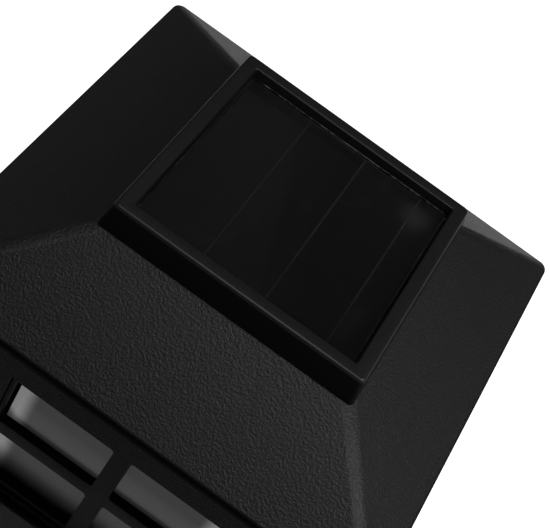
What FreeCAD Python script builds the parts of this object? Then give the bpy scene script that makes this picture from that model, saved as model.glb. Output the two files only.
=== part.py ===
import FreeCAD, Part
import math
import os
import re
import Sketcher

# A solar fence light that caps a square post: a lantern body with a two by two window
# grille on each side, on a wider base, under a hipped roof that carries a solar panel.
# Millimetres. The origin is the centre of the base's lower edge, +Z is up and the
# window seen from the front faces -Y. The roof lifts off along +Z.

SIZES = {
    # Roof and the raised frame on it
    "roofRise": 21.2, "lipHeight": 2.0, "roofWall": 2.5, "hipRadius": 3.0,
    "eaveRound": 0.7, "roofTopLand": 0.3, "wellSide": 56.0,
    "bezelBaseSide": 82.8, "bezelTopSide": 79.8, "bezelHeight": 9.1, "bezelRadius": 1.2,
    "bezelRound": 0.5, "rimWidth": 4.2, "recessDepth": 3.2, "recessRadius": 0.6,
    # Solar panel, seated in the frame
    "panelClearance": 0.3, "seatWidth": 3.0, "panelSealThick": 0.8, "backingThick": 1.6,
    "cellThick": 0.4, "glassThick": 1.2, "cellFirst": 21.5, "cellPitch": 19.9, "cellGap": 0.5,
    "cellMargin": 0.9,
    # Lantern body and its windows
    "overhang": 9.0, "bodyWall": 2.5, "bodyRadius": 2.5, "railHeight": 23.4,
    "openingWidth": 75.2, "openingHeight": 52.4, "grilleSetback": 1.0, "grilleDepth": 3.0,
    "frameWidth": 2.0, "frameSide": 1.3, "uprightWidth": 5.9, "crossHeight": 5.5, "muntinRound": 0.8,
    "flangeWidth": 1.8, "flangeSpare": 0.2, "flangeThick": 1.5, "grilleClearance": 0.1,
    "paneThick": 2.0, "paneMargin": 0.2,
    # Base and the post that it caps
    "plinthHeight": 30.0, "plinthLedge": 2.5, "plinthWall": 2.5, "plinthFloor": 3.0,
    "plinthRound": 1.2, "postSide": 101.6, "postClearance": 0.7, "collarWall": 2.5,
    "collarGap": 12.0, "ribLift": 2.0,
    "postHoleRadius": 2.2, "postHoleSpacing": 50.0, "postHoleLevel": 12.0,
    # Screws
    "screwRadius": 1.5, "headRadius": 2.8, "headHeight": 1.8, "screwClearance": 0.1,
    "screwBite": 7.0, "boreSpare": 1.5, "bossRadius": 3.6, "trayScrewInset": 16.5,
    "bezelScrewRadius": 1.1, "bezelHeadRadius": 2.1,
    "bezelHeadHeight": 1.4, "bezelScrewBite": 4.0, "boardScrewRadius": 0.9,
    "boardHeadRadius": 1.8, "boardHeadHeight": 1.1, "boardScrewBite": 2.0,
    # Tray under the roof and the housing that hangs from it
    "trayThick": 2.0, "trayRecess": 0.5, "trayClearance": 0.3, "traySealThick": 1.5,
    "traySealWidth": 1.8, "rimDepth": 5.0, "rimWall": 2.0, "rimClearance": 0.5,
    "housingDrop": 18.0, "housingWall": 2.0,
    # Electronics
    "boardLength": 46.0, "boardWidth": 33.0, "boardThick": 1.6, "standoff": 3.0,
    "standoffRadius": 2.4, "boardScrewInset": 3.4, "boardShift": 0.8,
    "chipSide": 5.0, "chipThick": 1.5, "coilRadius": 3.0, "coilHeight": 5.0,
    "capRadius": 2.5, "capHeight": 6.0, "partSpacing": 11.0,
    "emitterSide": 5.0, "lensRadius": 6.0, "lensFlange": 2.0, "lensFlangeThick": 1.0,
    "lensClearance": 0.15,
    # Battery, its door and the hinge
    "batteryRadius": 7.25, "batteryLength": 50.5, "batteryNubRadius": 2.5, "batteryNubHeight": 1.2,
    "batteryFloorGap": 0.3, "bayWall": 2.5, "contactThick": 1.0, "contactSide": 11.0, "stopWidth": 13.0,
    "stopThick": 2.55,
    "doorThick": 2.0, "doorGap": 0.2, "doorLap": 1.5, "doorOpeningSpare": 0.6,
    "pinRadius": 1.0, "pinClearance": 0.05, "knuckleRadius": 2.2, "knuckleLength": 40.0,
    "earThick": 4.0, "earGap": 0.3, "hingeReach": 2.4,
    # Slide switch
    "switchLength": 9.0, "switchWidth": 4.4, "switchLift": 0.3, "switchPlaceX": 12.0,
    "switchPlaceY": -14.0, "knobLength": 3.0, "knobWidth": 2.4, "knobProud": 1.4,
    "knobEntry": 1.2, "knobClearance": 0.2, "switchTravel": 3.0,
    # Reflector on the chamber floor
    "coneRadius": 34.0, "coneTipRadius": 3.0, "coneHeight": 26.0, "coneWall": 1.6,
    "coneFlange": 5.0,
}

# Sizes and heights that follow from the ones above
DERIVED = {
    "openingBottom": "plinthHeight + flangeWidth + flangeSpare",
    "openingTop": "openingBottom + openingHeight",
    "openingMiddle": "openingBottom + openingHeight / 2",
    "eaveLine": "openingTop + railHeight",
    "lipBottom": "eaveLine - lipHeight",
    "trayBottom": "lipBottom + trayRecess",
    "trayTop": "trayBottom + trayThick",
    "bodyTop": "trayBottom - traySealThick",
    "roofTop": "eaveLine + roofRise",
    "bezelTop": "roofTop + bezelHeight",
    "roofTopSide": "bezelBaseSide + 2 * roofTopLand",
    "roofPitch": "2 * roofRise / (roofSide - roofTopSide)",
    "roofWallDrop": "roofWall * sqrt(1 + roofPitch ^ 2)",
    "hollowSide": "roofSide - 2 * roofWall",
    "hollowEave": "eaveLine + roofWall * roofPitch - roofWallDrop",
    "hollowTop": "roofTop - roofWall",
    "hollowTopSide": "roofTopSide - 2 * (roofWallDrop - roofWall) / roofPitch",
    "hollowRadius": "hipRadius / 2",
    "recessSide": "bezelTopSide - 2 * rimWidth",
    "panelSide": "recessSide - 2 * panelClearance",
    "seatSide": "recessSide - 2 * seatWidth",
    "glassTop": "bezelTop - recessDepth",
    "cellTop": "glassTop - glassThick",
    "backingTop": "cellTop - cellThick",
    "sealTop": "backingTop - backingThick",
    "seatLevel": "sealTop - panelSealThick",
    "cellLeft": "cellMargin - recessSide / 2",
    "cellSecond": "cellLeft + cellFirst",
    "bezelScrewPlace": "(bezelBaseSide + recessSide) / 4",
    "postStop": "plinthHeight - plinthFloor",
    "socketSide": "postSide + 2 * postClearance",
    "collarSide": "socketSide + 2 * collarWall",
    "skirtInside": "collarSide + 2 * collarGap",
    "plinthSide": "skirtInside + 2 * plinthWall",
    "plinthScrewPlace": "(collarSide + skirtInside) / 4",
    "bodySide": "plinthSide - 2 * plinthLedge",
    "roofSide": "bodySide + 2 * overhang",
    "chamberSide": "bodySide - 2 * bodyWall",
    "grilleFront": "bodySide / 2 - grilleSetback",
    "grilleBack": "grilleFront - grilleDepth",
    "flangeBack": "chamberSide / 2 - flangeThick",
    "paneBack": "min(grilleBack, flangeBack) - paneThick",
    "lightWidth": "(openingWidth - 2 * frameSide - uprightWidth) / 2",
    "lightHeight": "(openingHeight - 2 * frameWidth - crossHeight) / 2",
    "traySide": "hollowSide - 2 * (trayTop - hollowEave) / roofPitch - 2 * trayClearance",
    "trayScrewPlace": "hollowSide / 2 - trayScrewInset",
    "rimSide": "chamberSide - 2 * rimClearance",
    "housingBottom": "trayBottom - housingDrop",
    "housingFloor": "housingBottom + housingWall",
    "contactInside": "batteryLength / 2 + batteryNubHeight",
    "contactOutside": "contactInside + contactThick",
    "housingInside": "2 * (contactOutside + stopThick)",
    "housingSide": "housingInside + 2 * housingWall",
    "boardBottom": "housingFloor + standoff",
    "boardTop": "boardBottom + boardThick",
    "boardFront": "boardShift - housingInside / 2",
    "boardMiddle": "boardFront + boardWidth / 2",
    "boardScrewX": "boardLength / 2 - boardScrewInset",
    "boardScrewY": "boardWidth / 2 - boardScrewInset",
    "batteryY": "housingInside / 2 - batteryRadius - knuckleRadius - bayWall",
    "batteryZ": "housingFloor + batteryFloorGap + batteryRadius",
    "doorOpeningHalfX": "contactInside + doorOpeningSpare",
    "doorOpeningHalfY": "batteryRadius + doorOpeningSpare",
    "doorTop": "housingBottom - doorGap",
    "hingeY": "batteryY + doorOpeningHalfY + doorLap + hingeReach",
    "hingeZ": "doorTop - knuckleRadius",
    "earInside": "knuckleLength / 2 + earGap",
    "earOutside": "earInside + earThick",
    "switchBottom": "housingFloor + switchLift",
    "slotLength": "knobLength + switchTravel + 2 * knobClearance",
    "slotMiddle": "switchPlaceX + switchTravel / 2",
    "slotWidth": "knobWidth + 2 * knobClearance",
}

doc = FreeCAD.newDocument("FenceLight")
SHEET_OF = {name: "Sizes." + name for name in SIZES}
SHEET_OF.update({name: "Derived." + name for name in DERIVED})
DIRECTIONS = {"x": FreeCAD.Vector(1, 0, 0), "y": FreeCAD.Vector(0, 1, 0), "z": FreeCAD.Vector(0, 0, 1)}
TOUCH = 1e-4    # how near a corner lies to a plane to count as on it
SLOT_LONG, SLOT_WIDE = 1.2, 0.25    # a screw head's cross slot, in parts of the head's radius
subparts = []


def prefixed(expression):
    """Writes every size in an expression with the name of its sheet."""
    return re.sub(r"[A-Za-z]\w*", lambda word: SHEET_OF.get(word.group(), word.group()), str(expression))


def makeSheets():
    """Driving sizes as plain numbers in one sheet, what follows from them in another."""
    sizes = doc.addObject("Spreadsheet::Sheet", "Sizes")
    derived = doc.addObject("Spreadsheet::Sheet", "Derived")
    for row, (name, number) in enumerate(SIZES.items(), start=1):
        sizes.set(f"A{row}", name)
        sizes.set(f"B{row}", str(number))
        sizes.setAlias(f"B{row}", name)
    for row, name in enumerate(DERIVED, start=1):
        derived.set(f"A{row}", name)
        derived.setAlias(f"B{row}", name)
    for row, expression in enumerate(DERIVED.values(), start=1):
        derived.set(f"B{row}", "=" + prefixed(expression).replace("Derived.", ""))
    doc.recompute()
    return sizes


sheet = makeSheets()


def valueOf(expression):
    return float(sheet.evalExpression(prefixed(expression)))


def bind(thing, **expressions):
    """Ties properties to the sheet; a double underscore in a name stands for a dot."""
    for name, expression in expressions.items():
        thing.setExpression(name.replace("__", "."), prefixed(expression))


def keep(thing, label):
    """Marks a finished object as a sub-part, under the name of its file."""
    thing.Label = label
    subparts.append(thing)
    return thing


# ---- Sketches ----

def newSketch(body, name, plane, offset):
    sketch = body.newObject("Sketcher::SketchObject", name)
    plane = next(item for item in body.Origin.OriginFeatures if item.Role == plane)
    sketch.AttachmentSupport = [(plane, "")]
    sketch.MapMode = "FlatFace"
    bind(sketch, AttachmentOffset__Base__z=offset)
    return sketch


def dimension(sketch, kind, *places, size):
    """A dimension of a sketch, bound to an expression."""
    index = sketch.addConstraint(Sketcher.Constraint(kind, *places, valueOf(size)))
    sketch.setExpression(f"Constraints[{index}]", prefixed(size))


def rectangle(sketch, left, bottom, right, top):
    """A rectangle between two corners, each side a bound distance from the sketch's origin."""
    x0, y0, x1, y1 = (valueOf(side) for side in (left, bottom, right, top))
    corners = [FreeCAD.Vector(*corner) for corner in ((x0, y0), (x1, y0), (x1, y1), (x0, y1))]
    lines = [sketch.addGeometry(Part.LineSegment(corners[i], corners[(i + 1) % 4])) for i in range(4)]
    for i in range(4):
        sketch.addConstraint(Sketcher.Constraint("Coincident", lines[i], 2, lines[(i + 1) % 4], 1))
        sketch.addConstraint(Sketcher.Constraint(("Horizontal", "Vertical")[i % 2], lines[i]))
    dimension(sketch, "DistanceX", -1, 1, lines[0], 1, size=left)
    dimension(sketch, "DistanceY", -1, 1, lines[0], 1, size=bottom)
    dimension(sketch, "DistanceX", -1, 1, lines[2], 1, size=right)
    dimension(sketch, "DistanceY", -1, 1, lines[2], 1, size=top)


def centredRectangle(sketch, width, height, x="0", y="0"):
    rectangle(sketch, f"{x} - ({width}) / 2", f"{y} - ({height}) / 2",
              f"{x} + ({width}) / 2", f"{y} + ({height}) / 2")


def circle(sketch, x, y, radius):
    centre = FreeCAD.Vector(valueOf(x), valueOf(y), 0)
    index = sketch.addGeometry(Part.Circle(centre, DIRECTIONS["z"], valueOf(radius)))
    dimension(sketch, "Radius", index, size=radius)
    dimension(sketch, "DistanceX", -1, 1, index, 3, size=x)
    dimension(sketch, "DistanceY", -1, 1, index, 3, size=y)


def fourCircles(sketch, x, y, radius, middle="0"):
    for signX in ("-", ""):
        for signY in ("-", "+"):
            circle(sketch, f"{signX}({x})", f"{middle} {signY} ({y})", radius)


def roundedSquare(sketch, side, radius):
    """A square with round corners about the sketch's origin."""
    half, arc = valueOf(side) / 2, valueOf(radius)
    straight = half - arc
    edges = []
    for quarter in range(4):
        turn = FreeCAD.Rotation(DIRECTIONS["z"], 90 * quarter)
        start, end, centre = (turn.multVec(FreeCAD.Vector(*place)) for place in
                              ((-straight, -half), (straight, -half), (straight, -straight)))
        edges.append(sketch.addGeometry(Part.LineSegment(start, end)))
        corner = Part.Circle(centre, DIRECTIONS["z"], arc)
        angle = math.radians(90 * quarter)
        edges.append(sketch.addGeometry(Part.ArcOfCircle(corner, angle - math.pi / 2, angle)))
    for i in range(8):
        sketch.addConstraint(Sketcher.Constraint("Tangent", edges[i], 2, edges[(i + 1) % 8], 1))
    for i, kind in ((0, "Horizontal"), (2, "Vertical"), (4, "Horizontal"), (6, "Vertical")):
        sketch.addConstraint(Sketcher.Constraint(kind, edges[i]))
    for i in (3, 5, 7):
        sketch.addConstraint(Sketcher.Constraint("Equal", edges[1], edges[i]))
    sketch.addConstraint(Sketcher.Constraint("Symmetric", edges[0], 1, edges[4], 1, -1, 1))
    dimension(sketch, "DistanceX", edges[6], 1, edges[2], 1, size=side)
    dimension(sketch, "DistanceY", edges[0], 1, edges[4], 1, size=side)
    dimension(sketch, "Radius", edges[1], size=radius)


# ---- Features of a body ----

def newBody(label):
    body = doc.addObject("PartDesign::Body", label)
    return keep(body, label)


def pad(body, name, sketch, length, downwards=False):
    feature = body.newObject("PartDesign::Pad", name)
    feature.Profile = sketch
    feature.Reversed = downwards
    bind(feature, Length=length)
    return feature


def pocket(body, name, sketch, length=None, upwards=False):
    """Cuts a sketch out of the body: through it both ways where no length is given."""
    feature = body.newObject("PartDesign::Pocket", name)
    feature.Profile = sketch
    if length is None:
        feature.Type = "ThroughAll"
        feature.Midplane = True
    else:
        feature.Reversed = upwards
        bind(feature, Length=length)
    return feature


def fourTurns(body, name, feature, sketch):
    """Repeats a feature on all four sides, about the upright through its sketch's origin."""
    pattern = body.newObject("PartDesign::PolarPattern", name)
    pattern.Originals = [feature]
    pattern.Axis = (sketch, ["N_Axis"])
    pattern.Angle = 360
    pattern.Occurrences = 4
    body.Tip = pattern


def roundEdges(body, name, feature, radius, chosen):
    """Rounds the edges of a feature whose corners all pass a test."""
    doc.recompute()
    names = [f"Edge{i}" for i, edge in enumerate(feature.Shape.Edges, start=1)
             if all(chosen(vertex.Point) for vertex in edge.Vertexes)]
    fillet = body.newObject("PartDesign::Fillet", name)
    fillet.Base = (feature, names)
    bind(fillet, Radius=radius)
    return fillet


def near(number, expression):
    return abs(number - valueOf(expression)) < TOUCH


# ---- Plain solids ----

def block(name, size, low):
    piece = doc.addObject("Part::Box", name)
    bind(piece, Length=size[0], Width=size[1], Height=size[2], Placement__Base__x=low[0],
         Placement__Base__y=low[1], Placement__Base__z=low[2])
    return piece


def cylinder(name, radius, length, start, along="z"):
    piece = doc.addObject("Part::Cylinder", name)
    piece.Placement.Rotation = FreeCAD.Rotation(DIRECTIONS["z"], DIRECTIONS[along])
    bind(piece, Radius=radius, Height=length, Placement__Base__x=start[0],
         Placement__Base__y=start[1], Placement__Base__z=start[2])
    return piece


def cone(name, low, high, height, level):
    piece = doc.addObject("Part::Cone", name)
    bind(piece, Radius1=low, Radius2=high, Height=height, Placement__Base__z=level)
    return piece


def fuse(name, *pieces):
    joined = doc.addObject("Part::MultiFuse", name)
    joined.Shapes = list(pieces)
    joined.Refine = True
    return joined


def cut(name, base, *tools):
    """Takes tools, one or more, out of a base."""
    result = doc.addObject("Part::Cut", name)
    result.Base = base
    result.Tool = tools[0] if len(tools) == 1 else group(name + "Tools", *tools)
    result.Refine = True
    return result


def group(name, *pieces):
    """Separate solids that are held as one object."""
    together = doc.addObject("Part::Compound", name)
    together.Links = list(pieces)
    return together


def squareLoft(name, *sections):
    """A solid through squares with round corners: each a side, a corner radius and a level."""
    outlines = []
    for number, (side, radius, level) in enumerate(sections):
        outline = doc.addObject("Sketcher::SketchObject", f"{name}Outline{number}")
        roundedSquare(outline, side, radius)
        bind(outline, Placement__Base__z=level)
        outlines.append(outline)
    solid = doc.addObject("Part::Loft", name)
    solid.Sections = outlines
    solid.Solid = True
    solid.Ruled = True
    return solid


def cornerPlaces(x, y, middle="0"):
    """Four places about the middle, as pairs of expressions."""
    return [(f"{signX}({x})", f"{middle} {signY} ({y})") for signX in ("-", "") for signY in ("-", "+")]


def screwSet(label, places, headLevel, headHeight, headRadius, shankRadius, shankLength, upwards):
    """Screws in one node: each a round head with a cross slot, and a shank that goes up or down."""
    screws = []
    for number, (x, y) in enumerate(places):
        name = f"{label}{number}"
        shankStart = f"{headLevel} + {headHeight}" if upwards else f"{headLevel} - ({shankLength})"
        slotLevel = headLevel if upwards else f"{headLevel} + {headHeight} / 2"
        head = cylinder(name + "Head", headRadius, headHeight, (x, y, headLevel))
        shank = cylinder(name + "Shank", shankRadius, shankLength, (x, y, shankStart))
        slots = [block(f"{name}Slot{way}", (f"{headRadius} * {long}", f"{headRadius} * {wide}",
                                            f"{headHeight} / 2"),
                       (f"{x} - {headRadius} * {long / 2}", f"{y} - {headRadius} * {wide / 2}", slotLevel))
                 for way, (long, wide) in enumerate(((SLOT_LONG, SLOT_WIDE), (SLOT_WIDE, SLOT_LONG)))]
        screws.append(cut(name, fuse(name + "Blank", head, shank), *slots))
    return keep(group(label, *screws), label)


# ---- Base ----

def basePlinth():
    """Skirt with a ledge, a floor under the lantern and a collar for the post, ribbed to the skirt."""
    body = newBody("base_plinth")
    outline = newSketch(body, "plinthOutline", "XY_Plane", "0")
    roundedSquare(outline, "plinthSide", "bodyRadius + plinthLedge")
    skirt = pad(body, "plinthBlock", outline, "plinthHeight")
    roundEdges(body, "plinthEdge", skirt, "plinthRound", lambda at: near(at.z, "plinthHeight"))
    inside = newSketch(body, "plinthInside", "XY_Plane", "0")
    roundedSquare(inside, "skirtInside", "bodyRadius")
    pocket(body, "plinthHollow", inside, "postStop", upwards=True)
    collar = newSketch(body, "collarOutline", "XY_Plane", "0")
    centredRectangle(collar, "collarSide", "collarSide")
    pad(body, "collarBlock", collar, "postStop")
    rib = newSketch(body, "ribOutline", "XY_Plane", "ribLift")
    rectangle(rib, "socketSide / 2", "socketSide / 2", "collarSide / 2", "(skirtInside + plinthWall) / 2")
    fourTurns(body, "ribs", pad(body, "ribPad", rib, "postStop - ribLift"), rib)
    socket = newSketch(body, "socketOutline", "XY_Plane", "0")
    centredRectangle(socket, "socketSide", "socketSide")
    pocket(body, "postSocket", socket, "postStop", upwards=True)
    screwHoles = newSketch(body, "plinthScrewHoles", "XY_Plane", "plinthHeight")
    fourCircles(screwHoles, "plinthScrewPlace", "plinthScrewPlace", "screwRadius + screwClearance")
    pocket(body, "plinthScrewBores", screwHoles)
    for plane in ("XZ_Plane", "YZ_Plane"):
        sides = newSketch(body, "postHoles" + plane[:2], plane, "0")
        for sign in ("-", ""):
            circle(sides, f"{sign}postHoleSpacing / 2", "postHoleLevel", "postHoleRadius")
        pocket(body, "postScrewHoles" + plane[:2], sides)


def plinthScrews():
    screwSet("plinth_screws", cornerPlaces("plinthScrewPlace", "plinthScrewPlace"),
             "postStop - headHeight", "headHeight", "headRadius", "screwRadius",
             "plinthFloor + screwBite", upwards=True)


# ---- Lantern body ----

def bodyShell():
    """Square tube with a window in each wall and a screw boss in each lower corner."""
    body = newBody("body_shell")
    outline = newSketch(body, "bodyOutline", "XY_Plane", "plinthHeight")
    roundedSquare(outline, "bodySide", "bodyRadius")
    pad(body, "bodyBlock", outline, "bodyTop - plinthHeight")
    inside = newSketch(body, "chamberOutline", "XY_Plane", "plinthHeight")
    roundedSquare(inside, "chamberSide", "bodyRadius / 2")
    pocket(body, "chamber", inside)
    bosses = newSketch(body, "bossOutlines", "XY_Plane", "plinthHeight")
    fourCircles(bosses, "plinthScrewPlace", "plinthScrewPlace", "bossRadius")
    pad(body, "bosses", bosses, "screwBite + 2 * boreSpare")
    bores = newSketch(body, "bossBores", "XY_Plane", "plinthHeight")
    fourCircles(bores, "plinthScrewPlace", "plinthScrewPlace", "screwRadius + screwClearance")
    pocket(body, "bossHoles", bores, "screwBite + boreSpare", upwards=True)
    for plane in ("XZ_Plane", "YZ_Plane"):
        window = newSketch(body, "window" + plane[:2], plane, "0")
        centredRectangle(window, "openingWidth", "openingHeight", "0", "openingMiddle")
        pocket(body, "windows" + plane[:2], window)


def facingPad(body, name, back, depth, width, height):
    """A plate behind the front window: its back is a distance from the middle of the lantern."""
    sketch = newSketch(body, name + "Outline", "XZ_Plane", back)
    centredRectangle(sketch, width, height, "0", "openingMiddle")
    return pad(body, name, sketch, depth)


def windowGrille(side, turn):
    """Frame with an upright and a cross bar, held behind the wall by a flange."""
    body = newBody(side + "_grille")
    facingPad(body, side + "Flange", "flangeBack", "flangeThick",
              "openingWidth + 2 * flangeWidth", "openingHeight + 2 * flangeWidth")
    facingPad(body, side + "Frame", "grilleBack", "grilleDepth",
              "openingWidth - 2 * grilleClearance", "openingHeight - 2 * grilleClearance")
    lights = newSketch(body, side + "Lights", "XZ_Plane", "grilleFront")
    for x, z in cornerPlaces("(lightWidth + uprightWidth) / 2", "(lightHeight + crossHeight) / 2",
                             "openingMiddle"):
        centredRectangle(lights, "lightWidth", "lightHeight", x, z)
    openings = pocket(body, side + "Openings", lights)
    reachX, reachZ = "openingWidth / 2 - frameSide", "openingHeight / 2 - frameWidth"

    def onLight(at):
        inX = abs(at.x) < valueOf(reachX) + TOUCH
        inZ = abs(at.z - valueOf("openingMiddle")) < valueOf(reachZ) + TOUCH
        return near(at.y, "-(grilleFront)") and inX and inZ
    roundEdges(body, side + "Softened", openings, "muntinRound", onLight)
    body.Placement = FreeCAD.Placement(FreeCAD.Vector(), FreeCAD.Rotation(DIRECTIONS["z"], turn))


def windowPane(side, turn):
    body = newBody(side + "_pane")
    facingPad(body, side + "Sheet", "paneBack", "paneThick",
              "openingWidth + 2 * (flangeWidth - paneMargin)",
              "openingHeight + 2 * (flangeWidth - paneMargin)")
    body.Placement = FreeCAD.Placement(FreeCAD.Vector(), FreeCAD.Rotation(DIRECTIONS["z"], turn))


def coneReflector():
    """Hollow white cone with a flange, on the floor of the light chamber."""
    outer = cone("coneOuter", "coneRadius", "coneTipRadius", "coneHeight", "plinthHeight")
    inner = cone("coneInner", "coneRadius - coneWall", "coneTipRadius - coneWall",
                 "coneHeight - coneWall", "plinthHeight")
    flange = cylinder("coneFoot", "coneRadius + coneFlange", "coneWall", ("0", "0", "plinthHeight"))
    keep(cut("coneReflector", fuse("coneBlank", outer, flange), inner), "cone_reflector")


# ---- Roof ----

def roofShell():
    """Hipped roof with a short lip, hollow inside, with screw bosses under its slopes."""
    outer = squareLoft("roofOuter", ("roofSide", "hipRadius", "lipBottom"),
                       ("roofSide", "hipRadius", "eaveLine"), ("roofTopSide", "hipRadius", "roofTop"))
    doc.recompute()
    edges = [(i, valueOf("eaveRound"), valueOf("eaveRound"))
             for i, edge in enumerate(outer.Shape.Edges, start=1)
             if all(near(vertex.Z, "eaveLine") or near(vertex.Z, "lipBottom") for vertex in edge.Vertexes)
             and abs(edge.Vertexes[0].Z - edge.Vertexes[-1].Z) < TOUCH]
    softened = doc.addObject("Part::Fillet", "roofSoftened")
    softened.Base = outer
    softened.Edges = edges
    hollow = squareLoft("roofHollow", ("hollowSide", "hollowRadius", "lipBottom - lipHeight"),
                        ("hollowSide", "hollowRadius", "hollowEave"),
                        ("hollowTopSide", "hollowRadius", "hollowTop"))
    places = cornerPlaces("trayScrewPlace", "trayScrewPlace")
    bosses = [cylinder(f"roofBoss{i}", "bossRadius", "roofRise", (x, y, "trayTop"))
              for i, (x, y) in enumerate(places)]
    bores = [cylinder(f"roofBore{i}", "screwRadius + screwClearance", "screwBite", (x, y, "trayTop"))
             for i, (x, y) in enumerate(places)]
    bezelBores = [cylinder(f"bezelHole{i}", "bezelScrewRadius + screwClearance", "2 * roofWall",
                           (x, y, "hollowTop - roofWall"))
                  for i, (x, y) in enumerate(cornerPlaces("bezelScrewPlace", "bezelScrewPlace"))]
    well = block("panelWell", ("wellSide", "wellSide", "2 * roofWall"),
                 ("-wellSide / 2", "-wellSide / 2", "hollowTop - roofWall"))
    shell = cut("roofBlank", softened, cut("roofHollowRound", hollow, *bosses))
    keep(cut("roofShell", shell, well, *bores, *bezelBores), "roof_shell")


def panelBezel():
    """Raised frame with leaning walls, a recess and a seat for the solar panel."""
    body = newBody("panel_bezel")
    foot = newSketch(body, "bezelFoot", "XY_Plane", "roofTop")
    roundedSquare(foot, "bezelBaseSide", "bezelRadius")
    head = newSketch(body, "bezelHead", "XY_Plane", "bezelTop")
    roundedSquare(head, "bezelTopSide", "bezelRadius")
    frame = body.newObject("PartDesign::AdditiveLoft", "bezelBlock")
    frame.Profile = foot
    frame.Sections = [head]
    frame.Ruled = True
    recess = newSketch(body, "recessOutline", "XY_Plane", "bezelTop")
    roundedSquare(recess, "recessSide", "recessRadius")
    hollow = pocket(body, "panelRecess", recess, "bezelTop - seatLevel")
    roundEdges(body, "bezelSoftened", hollow, "bezelRound", lambda at: near(at.z, "bezelTop"))
    seat = newSketch(body, "seatOutline", "XY_Plane", "bezelTop")
    centredRectangle(seat, "seatSide", "seatSide")
    pocket(body, "seatOpening", seat)
    bores = newSketch(body, "bezelBores", "XY_Plane", "roofTop")
    fourCircles(bores, "bezelScrewPlace", "bezelScrewPlace", "bezelScrewRadius + screwClearance")
    pocket(body, "bezelScrewBores", bores, "bezelScrewBite + boreSpare / 2", upwards=True)


def bezelScrews():
    screwSet("bezel_screws", cornerPlaces("bezelScrewPlace", "bezelScrewPlace"),
             "hollowTop - bezelHeadHeight", "bezelHeadHeight", "bezelHeadRadius", "bezelScrewRadius",
             "roofWall + bezelScrewBite", upwards=True)


def plate(label, side, level, thick, hole=None):
    """A square plate about the middle, with a square hole where one is given."""
    body = newBody(label)
    outline = newSketch(body, label + "Outline", "XY_Plane", level)
    centredRectangle(outline, side, side)
    if hole is not None:
        centredRectangle(outline, hole, hole)
    pad(body, label + "Plate", outline, thick)


def solarCells():
    """Strips from front to back: the first, as many whole ones as fit, and one for the rest."""
    count = math.ceil(valueOf("-cellLeft - cellSecond") / valueOf("cellPitch"))
    starts = ["cellLeft"] + [f"cellSecond + {number} * cellPitch" for number in range(count)]
    ends = starts[1:] + ["cellGap - cellLeft"]
    strips = [block(f"cell{number}", (f"{end} - ({start}) - cellGap", "-2 * cellLeft", "cellThick"),
                    (start, "cellLeft", "backingTop"))
              for number, (start, end) in enumerate(zip(starts, ends))]
    keep(group("solarCells", *strips), "solar_cells")


# ---- Tray under the roof ----

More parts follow.
